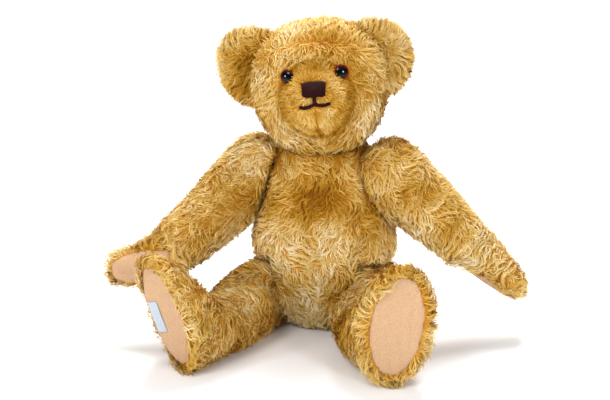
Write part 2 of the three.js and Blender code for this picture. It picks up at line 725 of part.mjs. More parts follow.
const eyeCuts = [];
const eyeRooms = [];
const face = [];
for (const [side, way] of [
  ['right', -1],
  ['left', 1],
]) {
  const frame = eyeFrame(way);
  const { radius, hole, thick, depth } = EYE_WASHER;
  eyeCuts.push(roundSolid(EYE.radius + GAP, -GAP, 12, frame, 16));
  eyeCuts.push(roundSolid(EYE.stem + GAP, -EYE.stemLength, 0, frame, 16));
  eyeCuts.push(roundSolid(radius + GAP, -EYE.stemLength - 2, -depth + thick + GAP, frame, 16));
  eyeRooms.push(roundSolid(EYE.radius + 2 * GAP, -EYE.stemLength - 1, EYE.dome, frame, 16));
  const placed = new THREE.Group();
  placed.applyMatrix4(frame);
  placed.add(mesh(`eye_${side}`, eyeGeometry(), 'eye'));
  placed.add(mesh(`eye_washer_${side}`, ringGeometry(hole, radius, -depth, -depth + thick, 16), 'nylon'));
  face.push(placed);
}

const head = stuffedLimb('head', 'neck', headShape, eyeCuts, eyeRooms);
head.add(...face);
head.add(mesh('nose_embroidery', noseGeometry(), 'thread'));
head.add(mesh('mouth_embroidery', mouthGeometry(), 'thread'));
for (const [side, way] of [
  ['right', -1],
  ['left', 1],
]) {
  head.add(mesh(`ear_${side}`, earGeometry(side, way), 'mohair'));
}
root.add(head);

// A thick round flap, hollowed in front, that meets the side of the head.
function earGeometry(side, way) {
  const { radius, thick, cup, cupRadius, across, up, back, splay, tip } = EAR;
  const place = new THREE.Matrix4()
    .makeRotationFromEuler(new THREE.Euler(radians(tip), 0, way * radians(splay), 'ZYX'))
    .setPosition(way * across[side], back, up[side])
    .premultiply(headFrame);
  const flap = new THREE.SphereGeometry(radius, 18, 11).scale(1, thick / 2 / radius, 1);
  const hollow = new THREE.SphereGeometry(cupRadius, 24, 16).translate(0, cup - thick / 2 - cupRadius, 0);
  const solid = solidOf(flap, place).subtract(solidOf(hollow, place)).subtract(headShape(-GAP));
  const pieces = solid.decompose().sort((a, b) => b.volume() - a.volume());
  return geometryOf(pieces[0]);
}

// The origin is on the floor, under the middle of the whole bear.
const bounds = new THREE.Box3().setFromObject(root);
const middle = bounds.getCenter(new THREE.Vector3());
root.position.set(-middle.x, -middle.y, -bounds.min.z);

export default root;
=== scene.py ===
"""A sitting jointed teddy bear of wavy golden mohair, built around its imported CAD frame."""

import json
import math

import bmesh
import bpy
import numpy as np
from mathutils import Matrix, Vector
from mathutils.bvhtree import BVHTree

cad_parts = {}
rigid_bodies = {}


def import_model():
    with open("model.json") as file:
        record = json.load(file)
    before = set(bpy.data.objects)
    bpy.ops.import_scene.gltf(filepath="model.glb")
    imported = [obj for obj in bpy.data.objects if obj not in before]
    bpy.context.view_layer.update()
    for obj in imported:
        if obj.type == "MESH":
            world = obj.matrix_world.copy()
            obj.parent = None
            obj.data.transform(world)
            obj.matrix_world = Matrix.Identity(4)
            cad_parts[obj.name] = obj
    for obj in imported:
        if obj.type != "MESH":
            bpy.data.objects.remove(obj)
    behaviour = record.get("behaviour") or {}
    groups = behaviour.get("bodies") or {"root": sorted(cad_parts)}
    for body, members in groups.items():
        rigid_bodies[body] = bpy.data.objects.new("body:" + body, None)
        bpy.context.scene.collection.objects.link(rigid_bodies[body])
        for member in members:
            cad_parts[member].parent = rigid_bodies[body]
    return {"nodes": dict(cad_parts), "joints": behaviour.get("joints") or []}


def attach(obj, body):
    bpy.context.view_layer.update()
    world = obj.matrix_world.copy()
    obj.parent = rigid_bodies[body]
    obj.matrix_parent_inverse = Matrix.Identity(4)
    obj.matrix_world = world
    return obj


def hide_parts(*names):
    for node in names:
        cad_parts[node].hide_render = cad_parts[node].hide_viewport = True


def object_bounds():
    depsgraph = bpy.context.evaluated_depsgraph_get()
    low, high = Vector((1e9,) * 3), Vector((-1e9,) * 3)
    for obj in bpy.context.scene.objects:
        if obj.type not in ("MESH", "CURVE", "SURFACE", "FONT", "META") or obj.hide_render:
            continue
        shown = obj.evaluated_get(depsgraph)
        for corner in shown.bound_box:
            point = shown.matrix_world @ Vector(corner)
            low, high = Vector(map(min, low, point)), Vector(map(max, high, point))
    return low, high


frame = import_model()
CAD_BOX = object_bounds()
MM = 0.001
JOINTS = {joint["name"]: joint for joint in frame["joints"]}
DOWN = np.array([0.0, 0.0, -1.0])


# ---- Camera ----


def add_camera():
    """Looks at the bear from ahead, a little to its left and above. The lengths are in metres."""
    low, high = (Vector(v) for v in CAD_BOX)
    middle = (low + high) / 2
    aside, behind, above = 0.001, 0.0324, 0.15
    target = Vector((middle.x + aside, middle.y + behind, low.z + above))
    around, up, away = math.radians(7), math.radians(18), 2.2
    back = Vector((math.sin(around) * math.cos(up), -math.cos(around) * math.cos(up), math.sin(up)))
    data = bpy.data.cameras.new("camera")
    data.lens, data.sensor_width = 133.9, 36
    data.shift_x, data.shift_y = -0.026, -0.0295
    camera = bpy.data.objects.new("camera", data)
    camera.location = target + back * away
    camera.rotation_euler = back.to_track_quat("Z", "Y").to_euler()
    bpy.context.scene.collection.objects.link(camera)
    bpy.context.scene.camera = camera


add_camera()


# ---- Numbers ----


def unit(v):
    return v / np.maximum(np.linalg.norm(v, axis=-1, keepdims=True), 1e-12)


def across(v, n):
    """The part of v that lies square to n, at length 1."""
    return unit(v - (v * n).sum(-1, keepdims=True) * n)


def waves(points, seed, size):
    """Smooth noise of about -1 to 1, whose lumps are about this size in metres."""
    count = 12
    draw = np.random.default_rng(seed)
    ways = unit(draw.normal(size=(count, 3))) * (math.pi / size) * draw.uniform(0.6, 1.3, (count, 1))
    return np.cos(points @ ways.T + draw.uniform(0, 2 * math.pi, count)).sum(-1) / math.sqrt(count)


def smooth_step(low, high, x):
    """0 up to low, 1 from high on, and a smooth slope between. It falls instead if high is the lesser."""
    t = np.clip((x - low) / (high - low), 0, 1)
    return t * t * (3 - 2 * t)


def bell(x, width):
    """1 where x is 0, fading to 1/e this far to either side."""
    return np.exp(-((x / width) ** 2))


def distance(at, place):
    return np.linalg.norm(at - place, axis=1)


# ---- Meshes ----


def add_mesh(name, vertices, faces, smooth=True):
    mesh = bpy.data.meshes.new(name)
    mesh.from_pydata([tuple(v) for v in vertices], [], [tuple(f) for f in faces])
    mesh.update()
    if smooth:
        mesh.shade_smooth()
    made = bpy.data.objects.new(name, mesh)
    bpy.context.scene.collection.objects.link(made)
    return made


def arrays(mesh):
    """A mesh's corners, triangles and corner normals as arrays."""
    mesh.calc_loop_triangles()
    places = np.zeros(len(mesh.vertices) * 3)
    mesh.vertices.foreach_get("co", places)
    normals = np.zeros(len(mesh.vertices) * 3)
    mesh.vertices.foreach_get("normal", normals)
    faces = np.zeros(len(mesh.loop_triangles) * 3, np.int32)
    mesh.loop_triangles.foreach_get("vertices", faces)
    return places.reshape(-1, 3), faces.reshape(-1, 3), normals.reshape(-1, 3)


def tree_of(mesh):
    """A search tree over a mesh's triangles."""
    places, faces, _ = arrays(mesh)
    return BVHTree.FromPolygons(places.tolist(), faces.tolist())


def set_places(mesh, places):
    mesh.vertices.foreach_set("co", np.asarray(places, np.float32).ravel())
    mesh.update()


def neighbours(mesh):
    """The two corners of each edge."""
    edges = np.zeros(len(mesh.edges) * 2, np.int32)
    mesh.edges.foreach_get("vertices", edges)
    return edges.reshape(-1, 2)


def relax(mesh, rounds):
    """Smooths a mesh without shrinking it much: each round draws it in and then lets it out again."""
    draw_in, let_out = 0.5, -0.52
    places = arrays(mesh)[0]
    a, b = neighbours(mesh).T
    count = np.bincount(np.concatenate([a, b]), minlength=len(places))[:, None]
    for i in range(rounds * 2):
        total = np.zeros_like(places)
        np.add.at(total, a, places[b])
        np.add.at(total, b, places[a])
        places += (draw_in, let_out)[i % 2] * (total / np.maximum(count, 1) - places)
    set_places(mesh, places)


def remeshed(name, source, voxel, rounds):
    """A new object with the source's shape, as an even net of small faces."""
    made = bpy.data.objects.new(name, source)
    bpy.context.scene.collection.objects.link(made)
    modifier = made.modifiers.new("remesh", "REMESH")
    modifier.mode, modifier.voxel_size, modifier.adaptivity = "VOXEL", voxel, 0
    evaluated = made.evaluated_get(bpy.context.evaluated_depsgraph_get())
    mesh = bpy.data.meshes.new_from_object(evaluated)
    mesh.materials.clear()
    made.modifiers.clear()
    made.data = mesh
    mesh.name = name
    keep_outside(mesh)
    relax(mesh, rounds)
    mesh.shade_smooth()
    return made


def middle_of(node):
    """The mean of a CAD node's corners."""
    return arrays(frame["nodes"][node].data)[0].mean(0)


def plane_of(node):
    """A flat node's middle, and its long, short and thin ways."""
    places = arrays(frame["nodes"][node].data)[0]
    middle = (places.min(0) + places.max(0)) / 2
    off = places - places.mean(0)
    ways = np.linalg.eigh(off.T @ off)[1].T[::-1]
    return middle, ways


# ---- The head's own frame, from its eyes ----

EYE_HEIGHT = 5.6 * MM  # of a CAD eye's apex above the back of its rim


def eye_frame(side):
    """The middle of an eye's rim, and the way it looks."""
    places = arrays(frame["nodes"][f"eye_{side}"].data)[0]
    washer = middle_of(f"eye_washer_{side}")
    apex = places[distance(places, washer).argmax()]
    out = unit(apex - washer)
    return apex - out * EYE_HEIGHT, out


EYES = {side: eye_frame(side) for side in ("right", "left")}
ACROSS = unit(EYES["left"][0] - EYES["right"][0])
AHEAD = across((EYES["left"][1] + EYES["right"][1])[None], ACROSS[None])[0]
UP = np.cross(AHEAD, -ACROSS)
UP *= np.sign(UP[2])
NOSE = middle_of("nose_embroidery")
SKULL = middle_of("head_stuffing")


# ---- Stuffed bodies ----

VOXEL = 3.3 * MM
SMOOTHING = 6  # rounds
PLUG = 3.5 * MM  # the radius of what stops up a hole


def joint_line(joint):
    """A joint's place, and the way along its axis out of its parent and into its child."""
    at = np.array(joint["pos_m"])
    axis = unit(np.array(joint["axis"]))
    return at, axis * np.sign((middle_of(f"{joint['child']}_stuffing") - at) @ axis)


def holes_of(node, body):
    """A CAD skin's holes for pins and eyes: a place in each, the way through it, and how deep its plug is."""
    pin_inset, pin_deep, eye_inset, eye_deep = 1.9, 2.2, 4, 3  # in mm
    holes = []
    for joint in JOINTS.values():
        side = {joint["child"]: 1, joint["parent"]: -1}.get(body)
        if side and node == f"{body}_skin":
            at, axis = joint_line(joint)
            holes.append((at + axis * side * pin_inset * MM, axis, pin_deep * MM))
    if node == "head_skin":
        holes += [(eye - out * eye_inset * MM, out, eye_deep * MM) for eye, out in EYES.values()]
    return holes


def plugged(node, body, pads):
    """A CAD skin with its pad, pin and eye holes stopped up, so that its outside is one closed surface."""
    net = bmesh.new()
    for name in (node, *pads):
        net.from_mesh(frame["nodes"][name].data)
    for at, axis, deep in holes_of(node, body):
        place = Matrix.Translation(at) @ Vector(axis).to_track_quat("Z", "Y").to_matrix().to_4x4()
        bmesh.ops.create_cone(
            net, cap_ends=True, segments=12, radius1=PLUG, radius2=PLUG, depth=deep, matrix=place
        )
    mesh = bpy.data.meshes.new(node + "_plugged")
    net.to_mesh(mesh)
    net.free()
    return mesh


def keep_outside(mesh):
    """Keeps only the loose part of a mesh that reaches furthest along X, which is its outer surface."""
    places = arrays(mesh)[0]
    label = np.arange(len(places))
    a, b = neighbours(mesh).T
    while True:
        least = label.copy()
        np.minimum.at(least, a, label[b])
        np.minimum.at(least, b, label[a])
        least = least[least]
        if (least == label).all():
            break
        label = least
    keep = label == label[places[:, 0].argmax()]
    net = bmesh.new()
    net.from_mesh(mesh)
    bmesh.ops.delete(net, geom=[v for v, k in zip(list(net.verts), keep) if not k], context="VERTS")
    net.to_mesh(mesh)
    net.free()


def undercoat(node, name, body, pads=()):
    """The cloth below the pile: a CAD skin's smoothed outside. Below each felt pad it is sunk and bare."""
    before, reach, sink = 2 * MM, 7 * MM, 1.2 * MM
    made = remeshed(name, plugged(node, body, pads), VOXEL, SMOOTHING)
    places, _, normals = arrays(made.data)
    bare = np.zeros(len(places), bool)
    for pad in pads:
        tree = tree_of(frame["nodes"][pad].data)
        for i, (p, n) in enumerate(zip(places, normals)):
            hit = tree.ray_cast(Vector(p + n * before), Vector(-n), reach)[0]
            if hit is not None:
                places[i] = np.array(hit) - n * sink
                bare[i] = True
    set_places(made.data, places)
    return made, bare


# ---- Materials ----


def rgb(text):
    """A colour from its sRGB hex digits, as linear light."""
    parts = [int(text[i : i + 2], 16) / 255 for i in (0, 2, 4)]
    return [*(c / 12.92 if c <= 0.04045 else ((c + 0.055) / 1.055) ** 2.4 for c in parts), 1.0]


class Look:
    """A material whose nodes are added one by one. A given value is a socket to link, or a plain value."""

    def __init__(self, name, **shader):
        self.material = bpy.data.materials.new(name)
        self.material.use_nodes = True
        self.tree = self.material.node_tree
        self.shader = self.tree.nodes["Principled BSDF"]
        self.set(self.shader, shader)

    def set(self, node, values):
        for key, value in values.items():
            socket = node.inputs[key if isinstance(key, int) else key.replace("_", " ")]
            if isinstance(value, bpy.types.NodeSocket):
                self.tree.links.new(value, socket)
            else:
                socket.default_value = value

    def node(self, kind, values=None, **properties):
        made = self.tree.nodes.new("ShaderNode" + kind)
        for key, value in properties.items():
            setattr(made, key, value)
        self.set(made, values or {})
        return made

    def place(self):
        """The place in the object's own frame, in metres."""
        return self.node("TexCoord").outputs["Object"]

    def number(self, name):
        """A number that a mesh keeps at its corners."""
        return self.node("Attribute", attribute_name=name).outputs["Fac"]

    def noise(self, scale, detail=2.0, place=None, rough=0.5):
        values = {"Vector": place or self.place(), "Scale": scale, "Detail": detail, "Roughness": rough}
        return self.node("TexNoise", values).outputs["Fac"]

    def math(self, operation, a, b):
        return self.node("Math", {0: a, 1: b}, operation=operation).outputs[0]

    def spread(self, value, low, high, to_low, to_high):
        """A value that runs from to_low to to_high while the given one runs from low to high."""
        values = {"Value": value, "From Min": low, "From Max": high, "To Min": to_low, "To Max": to_high}
        return self.node("MapRange", values).outputs[0]

    def ramp(self, value, stops):
        """The colour at a value on a ramp of (value, sRGB hex digits) stops."""
        made = self.node("ValToRGB", {"Fac": value})
        points = made.color_ramp.elements
        while len(points) < len(stops):
            points.new(0.5)
        for point, (at, colour) in zip(points, stops):
            point.position, point.color = at, rgb(colour)
        return made.outputs["Color"]

    def mix(self, share, a, b, blend="MIX"):
        """Two colours mixed. A colour Mix node keeps them at inputs 6 and 7, and its answer at output 2."""
        return self.node("Mix", {0: share, 6: a, 7: b}, data_type="RGBA", blend_type=blend).outputs[2]

    def bump(self, height, strength, distance):
        values = {"Height": height, "Strength": strength, "Distance": distance}
        self.set(self.shader, {"Normal": self.node("Bump", values).outputs["Normal"]})

    def colour(self, socket):
        self.set(self.shader, {"Base Color": socket})


# The mohair's colours, from the deepest brown to the palest gold.
TONES = [(0.0, "9a6610"), (0.28, "be8d26"), (0.55, "dbb561"), (0.8, "ebd59a"), (1.0, "f8ecd0")]


def pile_look():
    look = Look("mohair_pile", Roughness=0.5, Sheen_Weight=0.05, Sheen_Roughness=0.4)
    look.set(look.shader, {"Specular IOR Level": 0.22, "Specular Tint": rgb("ffe6ae")})
    look.set(look.shader, {"Sheen Tint": rgb("ffe9bd")})
    tone = look.math("ADD", look.number("tone"), look.spread(look.noise(900, 1), 0.3, 0.7, -0.08, 0.08))
    # Each lock darkens towards its root: painted shade deep in the pile.
    shade = look.ramp(look.number("along"), [(0.0, "e2cb9c"), (0.35, "f6efdf"), (0.8, "ffffff")])
    look.colour(look.mix(1.0, look.ramp(tone, TONES), shade, "MULTIPLY"))
    return look.material


def backing_look():
    look = Look("mohair_backing", Roughness=0.9)
    look.set(look.shader, {"Specular IOR Level": 0.1})
    tufts = look.noise(700, 3)
    tone = look.math("ADD", look.number("tone"), look.spread(tufts, 0.3, 0.7, -0.3, 0.1))
    look.colour(look.mix(1.0, look.ramp(tone, TONES), rgb("dcc08c"), "MULTIPLY"))
    look.bump(tufts, 0.8, 0.001)
    return look.material


# ---- Pile ----


STEPS = 5  # stretches along a lock
PART = np.linspace(0, 1, STEPS + 1)  # how far along a lock its points are
LOCK_WIDTH = 0.85 * MM
FULL_LENGTH = 9 * MM  # of a lock with its full height and width
SWING = 0.95  # how far a lock's waves turn it aside, in radians
WAVE = 7.5 * MM  # from one wave to the next
LEAST_HEIGHT = 0.3 * MM  # above the ground


def turned(way, up, angle):
    """A way turned about up."""
    return way * np.cos(angle)[:, None] + np.cross(up, way) * np.sin(angle)[:, None]


def roots_on(mesh, count, share, draw):
    """Even random roots over a mesh, and the normals there. share weighs each face by its middle."""
    places, faces, normals = arrays(mesh)
    corners = places[faces]
    area = np.linalg.norm(np.cross(corners[:, 1] - corners[:, 0], corners[:, 2] - corners[:, 0]), axis=1)
    total = np.cumsum(area * share(corners.mean(1), faces))
    chosen = np.searchsorted(total, (np.arange(count) + draw.random(count)) / count * total[-1])
    a, b = draw.random((2, count))
    flip = a + b > 1
    a[flip], b[flip] = 1 - a[flip], 1 - b[flip]
    parts = np.stack([1 - a - b, a, b], 1)[:, :, None]
    return (corners[chosen] * parts).sum(1), unit((normals[faces[chosen]] * parts).sum(1))


def laid(coat, at, up, long, bend, flow, phase_of):
    """Lays locks over a coat in even steps. Gives their points, and the normal, way and phase at each."""
    _, faces, normals = arrays(coat.data)
    smooth = unit(normals[faces].mean(1))
    tree = tree_of(coat.data)
    rows = []
    for step in range(STEPS + 1):
        if step:
            found = [tree.find_nearest(p) for p in (at + way * (long / STEPS)[:, None]).tolist()]
            at = np.array([f[0] for f in found])
            up = smooth[[f[2] for f in found]]
        phase = phase_of(at)
        way = turned(across(flow(at, up), up), up, bend * np.cos(phase))
        rows.append((at, up, way, phase))
    return [np.stack(row, 1) for row in zip(*rows)]


def raised(draw, points, ups, phases, long, height, loose):
    """Lifts laid locks off their coat by about height mm, in waves. A few tips stray as far as loose mm."""
    count = len(long)
    thick = height * MM * np.minimum(long / FULL_LENGTH, 1.5) * draw.uniform(0.25, 1.1, count)
    rise = np.sin(np.minimum(PART * 1.5, 1) * math.pi / 2)[None] * thick[:, None]
    rise += PART**2 * (draw.random(count) ** 3 * loose * MM)[:, None]
    rise += 0.12 * thick[:, None] * np.sin(phases) * np.minimum(PART * 3, 1)
    return points + ups * rise[:, :, None]


def ribbons(draw, points, ups, ways, long):
    """The corners of flat, twisted locks through these points: two at each, and one at the tip."""
    count = len(long)
    sides = unit(np.cross(ups, ways))
    twist = draw.normal(0, 0.45, count)[:, None] + draw.normal(0, 0.5, count)[:, None] * PART
    sides = sides * np.cos(twist)[:, :, None] + ups * np.sin(twist)[:, :, None]
    half = LOCK_WIDTH / 2 * (draw.uniform(0.7, 1.25, count) * np.clip(long / FULL_LENGTH, 0.75, 1))[:, None]
    half = (half * (1 - 0.75 * PART**3))[:, :, None]
    pairs = np.stack([points - sides * half, points + sides * half], 2)[:, :STEPS]
    corners = np.concatenate([pairs.reshape(count, -1, 3), points[:, STEPS:]], 1)
    corners[:, :, 2] = np.maximum(corners[:, :, 2], LEAST_HEIGHT)
    return corners


def add_pile(
    name, coat, body, count, flow, length, shade, share, seed, along, height=3.0, loose=4.0, lean=None
):
    """Curly locks over a coat. flow gives the way they lie, length their length in mm, shade how pale they
    are, share how thickly they grow, along the way that their waves run, and lean how far their tips stand
    aside. Their height, and how far a few tips stray, are in mm."""
    draw = np.random.default_rng(seed)
    at, up = roots_on(coat.data, count, share, draw)
    long = length(at) * draw.uniform(0.75, 1.2, count) * MM
    own = draw.normal(0, 0.95, count)
    bend = SWING * draw.uniform(0.5, 1.3, count)

    def phase_of(at):
        return 2 * math.pi * (at @ along) / WAVE + 5 * waves(at, seed + 1, 10 * MM) + own

    points, ups, ways, phases = laid(coat, at, up, long, bend, flow, phase_of)
    points = raised(draw, points, ups, phases, long, height, loose)
    if lean:
        points += PART[None, :, None] ** 1.5 * lean(points[:, 0])[:, None]
    corners = ribbons(draw, points, ups, ways, long)
    roots = points[:, 0]
    tone = shade(roots) + 0.11 * waves(roots, seed + 3, 7 * MM)
    tone += draw.normal(0, 0.05, count) + 0.12 * (draw.random(count) < 0.05)
    made = add_locks(name, corners, tone)
    made.data.materials.append(PILE)
    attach(made, body)


def add_locks(name, corners, tone):
    """One mesh of all the locks, each of four-cornered faces and a three-cornered tip. Each lock has its own
    cell of the map named OFBake."""
    count, each = corners.shape[:2]
    quads = np.array([[2 * i, 2 * i + 1, 2 * i + 3, 2 * i + 2] for i in range(STEPS - 1)])
    tip = np.array([2 * STEPS - 2, 2 * STEPS - 1, 2 * STEPS])
    loops = np.concatenate([quads.ravel(), tip])
    starts = np.concatenate([np.arange(STEPS - 1) * 4, [4 * (STEPS - 1)]])
    mesh = bpy.data.meshes.new(name)
    mesh.vertices.add(count * each)
    mesh.vertices.foreach_set("co", corners.astype(np.float32).ravel())
    first = np.arange(count)[:, None]
    mesh.loops.add(count * len(loops))
    mesh.loops.foreach_set("vertex_index", (first * each + loops).astype(np.int32).ravel())
    mesh.polygons.add(count * STEPS)
    mesh.polygons.foreach_set("loop_start", (first * len(loops) + starts).astype(np.int32).ravel())
    along = np.append(np.repeat(PART[:-1], 2), 1.0)
    for key, values in (("tone", np.repeat(tone, each)), ("along", np.tile(along, count))):
        layer = mesh.attributes.new(key, "FLOAT", "POINT")
        layer.data.foreach_set("value", values.astype(np.float32))
    # A cell is about three times as high as it is wide, and its lock keeps off its edges.
    columns = min(256, math.ceil(1.8 * math.sqrt(count)))
    rows = math.ceil(count / columns)
    over = np.append(np.tile([0.15, 0.85], STEPS), 0.5)
    u = (first % columns + over[loops]) / columns
    v = (first // columns + 0.06 + 0.88 * along[loops]) / rows
    layer = mesh.uv_layers.new(name="OFBake")
    layer.data.foreach_set("uv", np.stack([u, v], -1).astype(np.float32).ravel())
    mesh.update()
    mesh.validate()
    mesh.shade_smooth()
    made = bpy.data.objects.new(name, mesh)
    bpy.context.scene.collection.objects.link(made)
    return made


PILE, BACKING = pile_look(), backing_look()


def joint_flats(body, centres):
    """Which points lie on the middle of a flat that a body turns on, which its neighbour always hides."""
    deepest, widest = 2.5 * MM, 21 * MM
    flat = np.zeros(len(centres), bool)
    for joint in JOINTS.values():
        if body in (joint["parent"], joint["child"]):
            axis = unit(np.array(joint["axis"]))
            off = centres - np.array(joint["pos_m"])
            deep = off @ axis
            wide = np.linalg.norm(off - deep[:, None] * axis, axis=1)
            flat |= (abs(deep) < deepest) & (wide < widest)
    return flat


def swirled(way, at, up, seed, size, most):
    """A way over the surface, turned this way and that from place to place."""
    return turned(across(way, up), up, most * waves(at, seed, size * MM))


def mottled_and_shaded(shift, seed):
    """How pale the pile is from place to place: half way between brown and pale, plus patches and a shift. On
    the head, the ears and the torso the shift is partly painted shade and painted light.
    """
    darkest, palest = 0.05, 0.78

    def shade(at):
        return np.clip(0.5 + 0.16 * waves(at, seed, 26 * MM) + shift(at), darkest, palest)

    return shade


def add_body(node, body, count, flow, length, shift, seed, pads=(), dense=None, **more):
    """A coat and its pile. shift says how much paler than usual it is, and dense how thickly it grows."""
    coat, bare = undercoat(node, node.replace("_skin", "") + "_backing", body, pads)
    coat.data.materials.append(BACKING)
    shade = mottled_and_shaded(shift, seed + 2)
    layer = coat.data.attributes.new("tone", "FLOAT", "POINT")
    layer.data.foreach_set("value", shade(arrays(coat.data)[0]).astype(np.float32))
    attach(coat, body)
    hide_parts(node)

    def share(centres, faces):
        none = bare[faces].all(1) | joint_flats(body, centres)
        return (1.0 - none) * (dense(centres) if dense else 1.0)

    name = node.replace("_skin", "") + "_pile"
    add_pile(name, coat, body, count, flow, length, shade, share, seed, **more)


# ---- How the torso's pile grows ----


def torso_flow(at, up):
    return swirled(np.tile(DOWN, (len(at), 1)), at, up, 5, 18, 0.9)


def torso_length(at):
    """Short where the limbs turn on the torso, so that they have room."""
    beside, clear = 22 * MM, 40 * MM
    near = np.min([distance(at, np.array(joint["pos_m"])) for joint in JOINTS.values()], 0)
    return 4 + 6 * smooth_step(beside, clear, near)


def torso_shift(at):
    """Browner higher up, across the chest, as painted shade, and paler low down. Paler down the bear's right
    side, as painted light on that side.
    """
    low, high = (np.array(v) for v in CAD_BOX)
    up = (at[:, 2] - low[2]) / (high[2] - low[2])
    return 0.2 - 0.34 * smooth_step(0.25, 0.5, up) - 0.8 * (at[:, 0] - SKULL[0])


# ---- How the head's pile grows, by places in mm across, above and ahead of the nose's middle ----

MUZZLE_WIDE, MUZZLE_HIGH, MUZZLE_DROP = 35, 38, 9  # its half width and half height, and how low its middle is
MUZZLE_RIM = (0.93, 1.0)  # where its short pile ends, as on_face tells how far out
FACE_BACK = -60  # the face fades out behind the nose, and the crown goes on from here
BROW_TOP = 44  # where the brow's pile ends and the crown's begins
CHIN_SEAM = -22  # the seam below the nose fades in down to here, and shows from here down
EYE_ROOM = 9.2 * MM  # round an eye's middle, without pile


def on_face(at):
    """How far points are across, above and ahead of the nose, and how far out on the muzzle, 1 at its rim."""
    x, z, y = ((at - NOSE) @ way / MM for way in (ACROSS, UP, AHEAD))
    behind = smooth_step(FACE_BACK + 25, FACE_BACK, y)
    out = np.hypot(x / MUZZLE_WIDE, (z + MUZZLE_DROP) / MUZZLE_HIGH) + behind
    return x, z, y, out


def head_zones(x, z, y, out):
    """How far points belong to the muzzle, the crown, the brow and the cheeks, adding up to 1, and how far
    above the brow's end they are. The brow ends in an arc, lower to the sides."""
    muzzle = 1 - smooth_step(*MUZZLE_RIM, out)
    arc = BROW_TOP - 0.006 * x**2
    behind = smooth_step(FACE_BACK, FACE_BACK - 15, y)
    crown = np.maximum(smooth_step(-8, 8, z - arc), behind) * (1 - muzzle)
    brow = (1 - muzzle - crown) * smooth_step(8, 24, z)
    return muzzle, crown, brow, 1 - muzzle - crown - brow, z - arc


def head_flow(at, up):
    """Out from the nose, parted at the chin's seam, down the brow, round and down the cheeks, and back over
    the crown."""
    x, z, y, out = on_face(at)
    muzzle, crown, brow, cheek, _ = (v[:, None] for v in head_zones(x, z, y, out))
    aside = np.sign(x)
    spread = unit(x[:, None] * ACROSS + (z + 2)[:, None] * UP)
    seam = bell(x, 4) * smooth_step(CHIN_SEAM + 8, CHIN_SEAM, z)
    spread = unit(spread + (1.5 * seam * aside)[:, None] * ACROSS)
    round_down = np.cross(AHEAD, spread)
    round_down *= -np.sign(round_down @ UP)[:, None]
    over = unit(np.cross(at - SKULL, ACROSS))
    way = muzzle * spread + crown * over - brow * (UP - 0.25 * aside[:, None] * ACROSS)
    way = across(way + cheek * (0.5 * spread + round_down), up)
    return turned(way, up, waves(at, 6, 30 * MM) * (0.15 + 0.4 * (1 - muzzle[:, 0])))


def head_length(at):
    """Very short on the muzzle, longest on the crown, and shorter near the eyes."""
    muzzle, crown, brow, cheek, _ = head_zones(*on_face(at))
    long = 3.6 * muzzle + 11 * crown + 9 * brow + 8.5 * cheek
    for eye, _ in EYES.values():
        long *= 0.45 + 0.55 * smooth_step(8 * MM, 18 * MM, distance(at, eye))
    return long


def head_shift(at):
    """Browner on the muzzle. Painted shade darkens the pile just inside the muzzle's rim, at the brow's end,
    in the chin's seam where the pile parts, round the eyes and at the roots of the ears.
    """
    x, z, y, out = on_face(at)
    muzzle, crown, brow, cheek, past_brow = head_zones(x, z, y, out)
    tone = -0.17 * muzzle + 0.09 * crown + 0.09 * brow + 0.11 * cheek
    # Painted shadow just inside the muzzle's rim, under the longer pile round it.
    tone -= 0.38 * bell(out - 0.97, 0.055) * smooth_step(24, 10, z)
    # Painted shade along the brow's end.
    tone -= 0.13 * bell(past_brow, 5) * smooth_step(FACE_BACK + 10, FACE_BACK + 30, y)
    # Painted shade in the seam below the mouth, where the pile parts.
    tone -= 0.3 * bell(x, 1.3) * smooth_step(CHIN_SEAM + 6, CHIN_SEAM, z) * muzzle
    # Painted shade round the eyes, which sit deep in the pile.
    for eye, _ in EYES.values():
        tone -= 0.2 * bell(distance(at, eye), 12 * MM)
    # Painted shade in the creases where the ears meet the head.
    for side in EYES:
        root = middle_of(f"ear_{side}") * 0.55 + SKULL * 0.45
        tone -= 0.42 * bell(distance(at, root), 22 * MM)
    return tone


def head_dense(at):
    """Thickest on the muzzle, and none under the stitches of the nose and the mouth, or under the eyes."""
    x, z, y, out = on_face(at)
    none = (abs(x) < 11) & (abs(z) < 6.5) & (y > -9)
    none |= (abs(x) < 15) & (abs(z + 14.5) < 2.6) & (y > -20)
    for eye, _ in EYES.values():
        none |= distance(at, eye) < EYE_ROOM
    return (1 + 2.0 * (1 - smooth_step(*MUZZLE_RIM, out))) * (1.0 - none)


def ear_root(side):
    """A place low in an ear, towards its eye."""
    return EYES[side][0] * 0.4 + middle_of(f"ear_{side}") * 0.6


def ear_flow(side):
    root = ear_root(side)

    def flow(at, up):
        return swirled(unit(at - root) + 0.3 * DOWN, at, up, 8, 25, 0.7)

    return flow


def ear_shift(side):
    """Painted shade darkens the cup of an ear against its paler edge, most of all low down towards its root.
    """
    middle, root = middle_of(f"ear_{side}"), ear_root(side)

    def shift(at):
        near, inner = (bell(distance(at, place), 24 * MM) for place in (middle, root))
        # Painted shade in the cup, deepest at the root.
        return 0.12 - 0.2 * near - 0.42 * inner

    return shift


# ---- How the pile of the limbs grows ----


def limb_flow(joint, pad, seed):
    """Along the limb from its joint, and from the pad's middle outwards near the pad."""
    start, end = np.array(JOINTS[joint]["pos_m"]), middle_of(pad)
    _, (_, _, thin) = plane_of(pad)
    fanned, straight = 20 * MM, 75 * MM  # from the pad's middle

    def flow(at, up):
        off = at - end
        off = off - (off @ thin)[:, None] * thin
        near = 1 - smooth_step(fanned, straight, distance(at, end))
        way = unit(end - start) + 0.25 * DOWN
        way = way * (1 - near)[:, None] + unit(off) * near[:, None] * 0.8
        return swirled(way, at, up, seed, 20, 0.85)

    return flow


